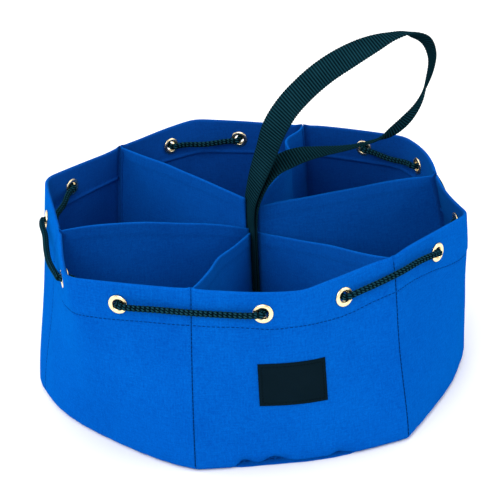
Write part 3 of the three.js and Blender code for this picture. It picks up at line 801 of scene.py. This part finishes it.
def strand(way, start, side, over, phase):
    """One strand on a helix: distance from the middle line = mean + swing * cos(crossings on the way)."""
    turn = way * phase + start
    swing = way * np.cos(STRANDS * phase)
    radius = CORD_R - STRAND_DEPTH + STRAND_SWING * (SWING_PART * swing + WAY_PART * way)
    out = np.cos(turn)[:, None] * side + np.sin(turn)[:, None] * over
    middle = cord_path + radius[:, None] * out
    ahead = unit(np.roll(middle, -1, 0) - np.roll(middle, 1, 0))
    wide = unit(np.cross(ahead, out))
    high = np.cross(wide, ahead)
    around = np.linspace(0, 2 * np.pi, STRAND_SIDES, endpoint=False)[:, None]
    half = STRAND_HALF - STRAND_WAY * way
    ring = half * np.cos(around) * wide[:, None] + STRAND_HIGH * np.sin(around) * high[:, None]
    # The number is painted light: strands of the way that lies over, and parts that pass over, get a painted
    # highlight; those that pass under get painted shade.
    shade = np.broadcast_to((SHADE_SWING * swing + SHADE_WAY * way)[:, None], ring.shape[:2])
    return middle[:, None] + ring, shade


def braid():
    """Six strands each way round the cord, evenly spaced."""
    along = unit(np.roll(cord_path, -1, 0) - np.roll(cord_path, 1, 0))
    side = unit(np.cross([0, 0, 1], along))
    over = np.cross(along, side)
    phase = 2 * np.pi * BRAID_TURNS * np.arange(len(cord_path)) / len(cord_path)
    starts = [2 * np.pi * k / STRANDS for k in range(STRANDS)]
    strands = [strand(way, start, side, over, phase) for way in (1, -1) for start in starts]
    return [np.stack(arrays) for arrays in zip(*strands)]


points, shade = braid()
count, n, sides = points.shape[:3]
faces = repeated(band_faces(n, sides, closed=True)[:, ::-1], n * sides, count)
cord_piece = add_piece("drawcord_braid", points, faces, None, shade, ["drawcord"])

# %% [markdown]
# ## Grommets
# A grommet is turned brass: a rolled ring outside, a barrel through the cloth and a flat washer inside. A
# torus would give only the ring, so one closed outline of all three is revolved round the axis that stands
# square on the wall.

# %% Turned brass
GROMMET_SEGMENTS = 40
GROMMET_PROUD = 0.4
ROLL = np.radians(np.linspace(180, -10, 13))
ROLL_R, ROLL_HALF, ROLL_Z, ROLL_HIGH = 4.95, 1.5, 0.1, 0.85
BARREL_AND_WASHER = table("r h", [
    (6.05, 0.02), (3.85, -0.05), (3.8, -2.6), (6.0, -2.7), (6.15, -3.0), (5.9, -3.3), (4.6, -3.6),
    (3.7, -3.4), (3.4, -3.0),
])


def grommet_profile():
    """Radius and height of a closed outline: the half-round rolled ring, the barrel, the washer behind."""
    r = np.append(ROLL_R + ROLL_HALF * np.cos(ROLL), BARREL_AND_WASHER["r"])
    return r, np.append(ROLL_Z + ROLL_HIGH * np.sin(ROLL), BARREL_AND_WASHER["h"])


def grommet(k, u):
    """The outline carried round the axis of the wall's frame."""
    origin, along, rise, out = wall_frame(k, u, GROMMET_Z)
    turn = np.linspace(0, 2 * np.pi, GROMMET_SEGMENTS, endpoint=False)[:, None, None]
    r, h = grommet_profile()
    spoke = np.cos(turn) * along + np.sin(turn) * rise
    return origin + spoke * r[:, None] + (h + GROMMET_PROUD)[:, None] * out


grommet_pieces = []
for i, (k, u) in enumerate(GROMMETS):
    points = grommet(k, u)
    faces = band_faces(*points.shape[:2], closed=True)
    name = f"grommet_{i + 1:02d}"
    grommet_pieces.append(add_piece(f"brass_{name}", points, faces, None, None, [name]))

# %% [markdown]
# ## Label
# A plain black woven patch is sewn on the front. A flat plate would stand off the curved wall, so the patch
# is a sheet that follows the panel. It stands up by a millimetre, is pressed in along its stitches, and its
# turned edges round down to the cloth.

# %% Label patch
LABEL_PANEL = PANELS.index("front")
LABEL_AT, LABEL_LOW = 40.6, 46.2
LABEL_WIDE, LABEL_HIGH = 44.0, 30.0
LABEL_SKEW, LABEL_DROP = 1.1, 1.7
LABEL_OFF, LABEL_RAISE, LABEL_BACK = 0.3, 0.75, 0.05
LABEL_EDGE, LABEL_EDGE_PART = 0.9, 0.03
BORDER, BORDER_GROOVE, BORDER_WIDE = 2.2, 0.22, 0.5
FAR_FROM_SEAM = 40.0


def label_place(f, v, lift):
    """Place on the label, f along and v up, both 0 to 1, at a height over the front panel's cloth."""
    z = LABEL_LOW + LABEL_HIGH * v - LABEL_DROP * f
    run = LABEL_AT + LABEL_WIDE * f + LABEL_SKEW * (1 - v)
    rise = cloth_waves(LABEL_PANEL, run, z, np.full_like(run, FAR_FROM_SEAM))
    return wall_point(LABEL_PANEL, from_seam(LABEL_PANEL, run, z), z, -(rise + lift))


def label_sheet():
    """Front rounded down at the edges and pressed in along the stitches, back flat on the cloth."""
    edge = LABEL_EDGE_PART * (1 - np.cos(np.linspace(0, np.pi / 2, 6)) ** 1.2)
    inner = np.linspace(LABEL_EDGE_PART, 1 - LABEL_EDGE_PART, 40)
    steps = np.concatenate([edge[:-1], inner, 1 - edge[-2::-1]])
    f, v = np.meshgrid(steps, steps)
    near = np.minimum(np.minimum(f, 1 - f) * LABEL_WIDE, np.minimum(v, 1 - v) * LABEL_HIGH)
    rounded = np.sqrt(np.clip(1 - (1 - np.clip(near / LABEL_EDGE, 0, 1)) ** 2, 0, 1))
    lift = LABEL_OFF + LABEL_RAISE * rounded - BORDER_GROOVE * bell((near - BORDER) / BORDER_WIDE)
    grids = [label_place(f, v, lift), label_place(f, v, np.full_like(f, LABEL_BACK))]
    places = np.stack([f * LABEL_WIDE, v * LABEL_HIGH], -1)
    return np.stack(grids), sheet_faces(*f.shape), np.stack([places, places])


points, faces, uv = label_sheet()
label_piece = add_piece("label_patch", points, faces, uv, nodes=["label"])

# %% [markdown]
# ## Stitches
# A stitch is a short length of thread that arches over the cloth and dives in at both ends. A line drawn in
# the material would stay flat in the light, so each stitch is a small spindle. Whole rows are made at once:
# the same spindle is copied to every place on a line, turned to the line and to the cloth.

# %% Stitch rows
SPINDLE = table("at size sink", [
    (-1, 0.35, -0.35), (-0.8, 0.8, 0.02), (-0.3, 1, 0.18),
    (0.3, 1, 0.18), (0.8, 0.8, 0.02), (1, 0.35, -0.35),
])
SPINDLE_SIDES = 6


def stitch_line(place, length, pitch, fill=0.78, radius=0.3):
    """Spindles along a line; place gives points and outward directions for numbers from 0 to 1."""
    count, rings = max(2, int(round(length / pitch))), len(SPINDLE)
    t = (np.arange(count) + 0.5) / count
    half = fill * pitch / length / 2
    around = np.linspace(0, 2 * np.pi, SPINDLE_SIDES, endpoint=False)[:, None]
    points, out = place((t[:, None] + half * SPINDLE["at"]).ravel())
    points, out = points.reshape(count, rings, 3), out.reshape(count, rings, 3)
    ahead = unit(np.gradient(points, axis=1))
    aside = unit(np.cross(out, ahead))
    ring = np.cos(around) * aside[:, :, None] + np.sin(around) * out[:, :, None]
    middle = points + SPINDLE["sink"][:, None] * out
    return middle[:, :, None] + radius * SPINDLE["size"][:, None, None] * ring


def add_stitches(name, lines):
    """One piece from several rows of stitches."""
    points = np.concatenate(lines)
    count, rings, sides = points.shape[:3]
    faces = repeated(band_faces(rings, sides, closed=False), rings * sides, count)
    return add_piece(name, points, faces, None, None, ())


# %% Stitches on hem and seams
HEM_MARGIN, HEM_PITCH = 0.7, 3.0
SEAM_LOW, SEAM_TOP, SEAM_PITCH, SEAM_DEEP = 4.0, 122.0, 2.8, 0.4


def on_hem(k):
    """Places on the outer cloth along the hem of panel k, from seam to seam."""
    first, second = cloth_lengths(k)

    def place(t):
        run = mix(HEM_MARGIN, first + second - HEM_MARGIN, t)
        z, u = hem_line(k, run), to_u(run, first, second)
        rise = cloth_waves(k, run, z, np.minimum(run, first + second - run))
        return wall_point(k, u, z, -rise), wall_frame(k, u, z)[3]

    return place


def on_seam(seam):
    """Places up the crease of a seam."""
    def place(t):
        z = mix(SEAM_LOW, SEAM_TOP, t)
        outward, _, radius = seam_axes(seam, z)
        out = np.concatenate([outward, np.zeros_like(z)[:, None]], -1)
        return np.concatenate([outward * (radius - SEAM_DEEP)[:, None], z[:, None]], -1), out

    return place


hem_rows = [
    stitch_line(on_hem(k), sum(cloth_lengths(k)) - 2 * HEM_MARGIN, HEM_PITCH, fill=0.88, radius=0.28)
    for k in range(SEAMS)
]
seam_rows = [
    stitch_line(on_seam(k), SEAM_TOP - SEAM_LOW, SEAM_PITCH, fill=0.95, radius=0.27) for k in range(SEAMS)
]
thread_hem = add_stitches("thread_hem", hem_rows)
thread_seams = add_stitches("thread_seams", seam_rows)

# %% Stitches on label and base
LABEL_PITCH, LABEL_THREAD_LIFT = 2.2, 0.85
BASE_PITCH, BASE_ROW, BASE_INSET = 4.0, 830, 0.965


def on_label(start, end):
    """Places along one side of the label's stitched border, from one corner to the next."""
    def place(t):
        f, v = mix(start[0], end[0], t), mix(start[1], end[1], t)
        points = label_place(f, v, np.full_like(f, LABEL_THREAD_LIFT))
        return points, unit(points - label_place(f, v, np.full_like(f, -1.0)))

    return place


def on_base(t):
    """Places on the upper side of the base, a little inside its outline."""
    rim = np.concatenate([base_rim, base_rim[:1]])
    x, y = (np.interp(t * len(base_rim), np.arange(len(rim)), rim[:, i]) for i in range(2))
    points = np.stack([x * BASE_INSET, y * BASE_INSET, 0 * t + BASE], -1)
    return points, np.broadcast_to([0.0, 0.0, 1.0], points.shape)


left, low = BORDER / LABEL_WIDE, BORDER / LABEL_HIGH
level_rows = [
    stitch_line(on_label((left, v), (1 - left, v)), LABEL_WIDE - 2 * BORDER, LABEL_PITCH, radius=0.24)
    for v in (low, 1 - low)
]
upright_rows = [
    stitch_line(on_label((f, low), (f, 1 - low)), LABEL_HIGH - 2 * BORDER, LABEL_PITCH, radius=0.24)
    for f in (left, 1 - left)
]
thread_label = add_stitches("thread_label", level_rows + upright_rows)
thread_base = add_stitches("thread_base", [stitch_line(on_base, BASE_ROW, BASE_PITCH, radius=0.26)])

# %% [markdown]
# ## Finishes
# A finish is a tree of shader nodes. It could be wired by hand, but sums and products read better as
# expressions, so a small class wraps a socket and adds the nodes.

# %% Shader expressions
OBJECT_PLACE = 3
ATTRIBUTE_NUMBER = 2
MIX_FACTOR, MIX_A, MIX_B, MIX_COLOUR = 0, 6, 7, 2


class Shade:
    """A socket of a material; sums and products on it add Math nodes, and node adds any other."""

    def __init__(self, tree, socket=None):
        self.tree, self.socket = tree, socket

    def node(self, kind, settings=(), values=(), out=0):
        """Adds a node of a kind, sets it, fills its inputs with values or links, and gives one output."""
        made = self.tree.nodes.new(kind)
        for key, value in dict(settings).items():
            setattr(made, key, value)
        for key, value in dict(values).items():
            if isinstance(value, Shade):
                self.tree.links.new(value.socket, made.inputs[key])
            else:
                made.inputs[key].default_value = value
        return Shade(self.tree, made.outputs[out])

    def math(self, operation, a, b=0.0):
        return self.node("ShaderNodeMath", {"operation": operation}, {0: a, 1: b})

    def __add__(self, other):
        return self.math("ADD", self, other)

    def __sub__(self, other):
        return self.math("SUBTRACT", self, other)

    def __mul__(self, other):
        return self.math("MULTIPLY", self, other)

    __radd__ = __add__
    __rmul__ = __mul__

    def __rsub__(self, other):
        return self.math("SUBTRACT", other, self)

    def sine(self):
        return self.math("SINE", self)

    def clamped(self):
        return self.node("ShaderNodeClamp", {}, {0: self})

    def here(self):
        """The place on the object, in metres."""
        return self.node("ShaderNodeTexCoord", out=OBJECT_PLACE)

    def number(self):
        """The number that the piece carries at each point."""
        return self.node("ShaderNodeAttribute", {"attribute_name": "shade"}, out=ATTRIBUTE_NUMBER)

    def woven(self):
        """The place across and along the piece's own cloth, in millimetres."""
        uv = self.node("ShaderNodeUVMap", {"uv_map": "weave"})
        return [self.node("ShaderNodeSeparateXYZ", {}, {0: uv}, axis) for axis in (0, 1)]

    def noise(self, where, scale, detail=2.0):
        values = {"Vector": where, "Scale": scale, "Detail": detail, "Roughness": 0.5}
        return self.node("ShaderNodeTexNoise", {}, values)

    def colours(self, a, b):
        """A blend from colour a to colour b by this value."""
        values = {MIX_FACTOR: self, MIX_A: a, MIX_B: b}
        return self.node("ShaderNodeMix", {"data_type": "RGBA"}, values, MIX_COLOUR)


# %% Finishes and their sockets
MATT = {"Specular IOR Level": 0.0}


def new_finish(name):
    """A new material, the root for its expressions, and its Principled shader."""
    material = bpy.data.materials.new(name)
    material.use_nodes = True
    return material, Shade(material.node_tree), material.node_tree.nodes["Principled BSDF"]


def feed(shader, colour, rough, height=None, distance=0.0002, strength=0.5):
    """Links colour, roughness and relief to a shader."""
    tree = colour.tree
    tree.links.new(colour.socket, shader.inputs["Base Color"])
    tree.links.new(rough.socket, shader.inputs["Roughness"])
    if height is not None:
        values = {"Height": height, "Distance": distance, "Strength": strength}
        tree.links.new(colour.node("ShaderNodeBump", {}, values).socket, shader.inputs["Normal"])


def set_plain(shader, values):
    """Sets the sockets of a shader that are the same all over."""
    for name, value in values.items():
        shader.inputs[name].default_value = value


def dress(pieces, material):
    """Gives pieces one finish in their only slot."""
    for piece in pieces:
        piece.data.materials.clear()
        piece.data.materials.append(material)


# %% [markdown]
# ## Blue cloth
# The bag is sewn from a plain woven cloth whose yarns are uneven, so it looks mottled and streaked. Its
# inner faces get a darker colour as painted shade inside the bag, and the dividers a colour halfway to it. A
# picture of cloth could be laid on, but would stretch at the folds. Here the weave is two crossed sines on
# each piece's own cloth places, so it turns with every fold.

# %% Blue cloth
THREADS = 6.1
GRAIN = 900.0
YARN_ACROSS, YARN_ALONG = 1.1, 0.12
CLOTH_SHEEN = {"Sheen Weight": 0.2, "Sheen Roughness": 0.45, "Sheen Tint": (0, 0.28, 0.8, 1)}


def blue_cloth(name, face, painted_shade):
    """Plain weave: the product of two sines on the cloth's places, with streaks of yarn; painted shade
    inside.
    """
    material, root, shader = new_finish(name)
    x, y = root.woven()
    here = root.here()
    loose = root.noise(here, GRAIN, 1.0) * 2.5
    weave = (x * THREADS + loose).sine() * (y * THREADS + loose).sine() * 0.5 + 0.5
    slow = root.noise(here, 22.0, 3.0)
    grain = root.noise(here, GRAIN)
    warp_place = root.node("ShaderNodeCombineXYZ", {}, {0: x * YARN_ACROSS, 1: y * YARN_ALONG})
    weft_place = root.node("ShaderNodeCombineXYZ", {}, {0: x * YARN_ALONG, 1: y * YARN_ACROSS, 2: 7.0})
    yarn = root.noise(warp_place, 1.0) + root.noise(weft_place, 1.0)
    tone = (slow * 0.5 + grain * 0.8 + yarn * 0.5 + weave * 0.2 - 0.8).clamped()
    # The number blends from the painted shade colours of the inner faces (0) to the lit colours (1).
    colour = root.number().colours(tone.colours(*painted_shade), tone.colours(*face))
    feed(shader, colour, 0.72 + grain * 0.2, weave + grain * 0.6 + yarn * 0.5, 0.00015)
    set_plain(shader, CLOTH_SHEEN | MATT)
    return material


cloth = blue_cloth(
    "blue cloth",
    face=((0.0004, 0.048, 0.3, 1), (0.001, 0.118, 0.52, 1)),
    # The second pair is painted shade for the inner faces, darker than the lit colours above.
    painted_shade=((0.002, 0.036, 0.2, 1), (0.003, 0.07, 0.35, 1)),
)
dress(cloth_pieces, cloth)
print("blue cloth on", len(cloth_pieces), "pieces")


# %% [markdown]
# ## Black webbing, cord and label
# All three are black yarn that shines a little on its ridges. One flat black would hide the relief, so the
# colour carries a painted highlight on the ridges and painted shade in the valleys: webbing and braid carry a
# number for their modelled ridges, and the label, which is too fine to model, has its weave from sines.

# %% Black webbing, cord and label
def black_yarn(name, deep, bright, relief, modelled=True, rough=0.62):
    """Black yarn: ridges, modelled or woven from two sines, get painted highlight and valleys painted shade,
    with fine noise.
    """
    material, root, shader = new_finish(name)
    here = root.here()
    grain = root.noise(here, 1800.0)
    slow = root.noise(here, 60.0)
    if modelled:
        ridge = root.number() * 0.5 + 0.5
    else:
        x, y = root.woven()
        ridge = (x * 9.0).sine() * (y * 9.0).sine() * 0.5 + 0.5
    # Ridges are lighter as a painted highlight and valleys darker as painted shade.
    tone = (ridge * ridge + grain * 0.4 + slow * 0.2 - 0.25).clamped()
    feed(shader, tone.colours(deep, bright), rough + grain * 0.2, grain + ridge * relief, 0.00015)
    set_plain(shader, MATT)
    return material


# For each, the first colour is the painted shade of the valleys and the second the painted highlight of the
# ridges.
webbing_black = black_yarn("black webbing", (0.0001, 0.0008, 0.0014, 1), (0.008, 0.05, 0.072, 1), relief=0.3)
braid_black = black_yarn("black braid", (0.0001, 0.001, 0.002, 1), (0.008, 0.048, 0.07, 1), relief=0.2)
label_black = black_yarn(
    "black label", (0.0015, 0.005, 0.008, 1), (0.005, 0.015, 0.024, 1), relief=1.0, modelled=False, rough=0.5
)
dress([strap_piece], webbing_black)
dress([cord_piece], braid_black)
dress([label_piece], label_black)
print("black webbing, braid and label")


# %% [markdown]
# ## Brass and thread
# The grommets are polished brass with a trace of tarnish, and thread is a matt fibre near the colour of
# what it sews. Plain colours would look hard up close, so noise on the object's own coordinates, in metres,
# changes colour and gloss a little.

# %% Brass and thread
def brass(deep, bright):
    """Polished brass: faint tarnish in colour and gloss from coarse noise, and fine grain in relief."""
    material, root, shader = new_finish("polished brass")
    here = root.here()
    tarnish = root.noise(here, 260.0, 3.0)
    fine = root.noise(here, 3000.0)
    tone = (tarnish * 1.4 - 0.3).clamped()
    feed(shader, tone.colours(deep, bright), 0.16 + tarnish * 0.14 + fine * 0.06, fine, 0.00002, 0.3)
    set_plain(shader, {"Metallic": 1.0})
    return material


def thread_finish(name, deep, bright):
    """Thread: fine noise blends a deep and a bright colour and roughens the surface."""
    material, root, shader = new_finish(name)
    fibre = root.noise(root.here(), 2600.0, 1.0)
    feed(shader, fibre.colours(deep, bright), 0.6 + fibre * 0.2, fibre, 0.0001, 0.4)
    set_plain(shader, MATT)
    return material


navy = thread_finish("navy thread", (0.0003, 0.01, 0.06, 1), (0.0006, 0.028, 0.15, 1))
blue = thread_finish("blue thread", (0.0004, 0.018, 0.1, 1), (0.0008, 0.042, 0.21, 1))
black = thread_finish("black thread", (0.001, 0.003, 0.005, 1), (0.004, 0.011, 0.016, 1))
dress(grommet_pieces, brass((0.85, 0.68, 0.37, 1), (0.94, 0.84, 0.57, 1)))
dress([thread_seams], navy)
dress([thread_hem, thread_base], blue)
dress([thread_label], black)
print("brass and thread")

# %% [markdown]
# ## Floor and light
# A plain pale floor and a white surround give the soft, even light of a catalogue picture. Small lamps
# would cast hard shadows, so all four are large: one from the front left shapes the panels, weaker ones from
# the left and the right open the shade, and one from above lights the rim and the inside.

# %% Stage
FLOOR_HALF = 6.0
LAMP_AIM = np.array([0, 0, 0.08])
SURROUND = 0.75


def floor():
    """A wide flat plate at floor height."""
    mesh = bpy.data.meshes.new("floor")
    corners = [(x * FLOOR_HALF, y * FLOOR_HALF, 0) for x, y in ((-1, -1), (1, -1), (1, 1), (-1, 1))]
    mesh.from_pydata(corners, [], [(0, 1, 2, 3)])
    plate = bpy.data.objects.new("floor", mesh)
    bpy.context.scene.collection.objects.link(plate)
    material, root, shader = new_finish("pale floor")
    here = root.here()
    colour = root.noise(here, 6.0).colours((0.95, 0.95, 0.94, 1), (0.97, 0.97, 0.96, 1))
    feed(shader, colour, 0.7 + 0.1 * root.noise(here, 30.0))
    plate.data.materials.append(material)


def lamp(name, place, size, watts):
    """A square lamp that looks at the bag's middle."""
    light = bpy.data.lights.new(name, "AREA")
    light.size, light.energy = size, watts
    shown = bpy.data.objects.new(name, light)
    place = np.array(place, float)
    back = unit(place - LAMP_AIM)
    side = unit(np.cross([0, 0, 1], back))
    turned = np.eye(4)
    turned[:3] = np.stack([side, np.cross(back, side), back, place], -1)
    shown.matrix_world = turned.T.tolist()
    bpy.context.scene.collection.objects.link(shown)


floor()
lamp("key", (-0.9, -1.5, 1.5), 1.4, 28)
lamp("left", (-1.7, 0.5, 0.9), 1.4, 14)
lamp("fill", (1.6, -1.0, 1.0), 1.4, 12)
lamp("top", (0.2, 0.5, 1.9), 1.6, 16)
world = bpy.data.worlds.new("surround")
world.use_nodes = True
world.node_tree.nodes["Background"].inputs["Color"].default_value = (1, 1, 1, 1)
world.node_tree.nodes["Background"].inputs["Strength"].default_value = SURROUND
bpy.context.scene.world = world
bpy.context.scene.view_settings.view_transform = "Standard"
print("stage ready")
